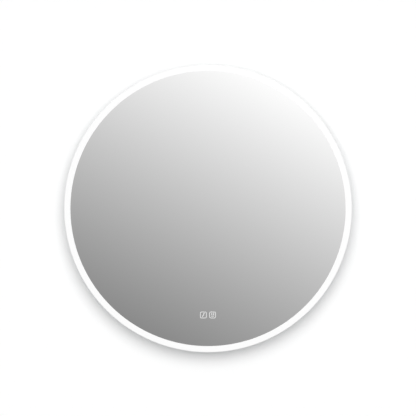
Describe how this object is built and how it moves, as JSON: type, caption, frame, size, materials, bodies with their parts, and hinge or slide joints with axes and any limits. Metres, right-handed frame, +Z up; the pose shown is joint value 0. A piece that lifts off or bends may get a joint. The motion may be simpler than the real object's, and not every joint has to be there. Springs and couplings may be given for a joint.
{
  "type": "lighted bathroom mirror",
  "caption": "Round lighted wall mirror: glass disc with a frosted lit rim and two touch signs, on a rolled aluminium ring with back plate, driver, wiring box and lift-off wall rail.",
  "frame": {"origin": "middle of the wall rail's screw line, on the rail's back face, which is the wall plane", "axes": "+Y into the wall (the mirror faces -Y), +X to the right as seen from the front, +Z up"},
  "size_m": [0.6, 0.0402, 0.5999],
  "materials": {
    "clear_glass": "polished",
    "silver_coating": "mirror",
    "anodised_ring": "satin anodised",
    "rail_aluminium": "mill finish",
    "rivet_aluminium": "bright",
    "galvanised_steel": "galvanised",
    "zinc_steel": "zinc plated",
    "opal_plastic": "opal",
    "foam_tape": "foam",
    "clear_seal": "silicone",
    "strip_board": "solder mask",
    "light_chip": "phosphor",
    "black_rubber": "moulded",
    "box_plastic": "fine texture",
    "nylon": "moulded",
    "clamp_brass": "turned",
    "tinned_copper": "tinned",
    "driver_plastic": "moulded",
    "circuit_board": "solder mask",
    "ferrite": "sintered",
    "winding_tape": "tape",
    "capacitor_sleeve": "shrink sleeve",
    "connector_plastic": "moulded",
    "heater_film": "polyester",
    "heater_track": "etched foil",
    "switch_plastic": "moulded",
    "acrylic": "frosted",
    "copper_foil": "foil",
    "brown_wire": "insulation",
    "blue_wire": "insulation",
    "green_wire": "insulation",
    "white_lead": "sheath"
  },
  "bodies": {
    "rail": {"wall_rail": "rail_aluminium"},
    "mirror": {"mirror_glass": "clear_glass", "silvering": "silver_coating", "ring_profile": "anodised_ring", "ring_joiner": "anodised_ring", "hanger_rail": "rail_aluminium", "hanger_rivets": "rivet_aluminium", "back_plate": "galvanised_steel", "back_plate_screws": "zinc_steel", "cover_screws": "zinc_steel", "box_screws": "zinc_steel", "driver_screws": "zinc_steel", "joiner_screws": "zinc_steel", "block_screws": "zinc_steel", "terminal_screws": "zinc_steel", "earth_stud": "zinc_steel", "earth_washer": "zinc_steel", "earth_nut": "zinc_steel", "diffuser_ring": "opal_plastic", "bonding_tape": "foam_tape", "edge_seal": "clear_seal", "chip_strip": "strip_board", "light_chips": "light_chip", "icon_lamps": "light_chip", "wall_bumpers": "black_rubber", "cable_grommet": "black_rubber", "lead_grommet": "black_rubber", "wiring_box": "box_plastic", "wiring_cover": "box_plastic", "terminal_block": "nylon", "lead_saddles": "nylon", "terminal_clamps": "clamp_brass", "earth_tag": "tinned_copper", "driver_case": "driver_plastic", "driver_lid": "driver_plastic", "driver_board": "circuit_board", "switch_board": "circuit_board", "transformer_core": "ferrite", "transformer_coil": "winding_tape", "driver_capacitors": "capacitor_sleeve", "driver_terminals": "connector_plastic", "switch_connectors": "connector_plastic", "defogger_terminal": "connector_plastic", "defogger_film": "heater_film", "defogger_track": "heater_track", "switch_housing": "switch_plastic", "icon_light_guides": "acrylic", "touch_electrodes": "copper_foil", "live_wire": "brown_wire", "neutral_wire": "blue_wire", "earth_wire": "green_wire", "supply_lead": "white_lead", "light_lead": "white_lead", "heat_lead": "white_lead"}
  },
  "joints": [
    {"name": "lift_off", "type": "slide", "parent": "rail", "child": "mirror", "axis": [0, 0, 1], "range_m": [0, 0.014]}
  ]
}
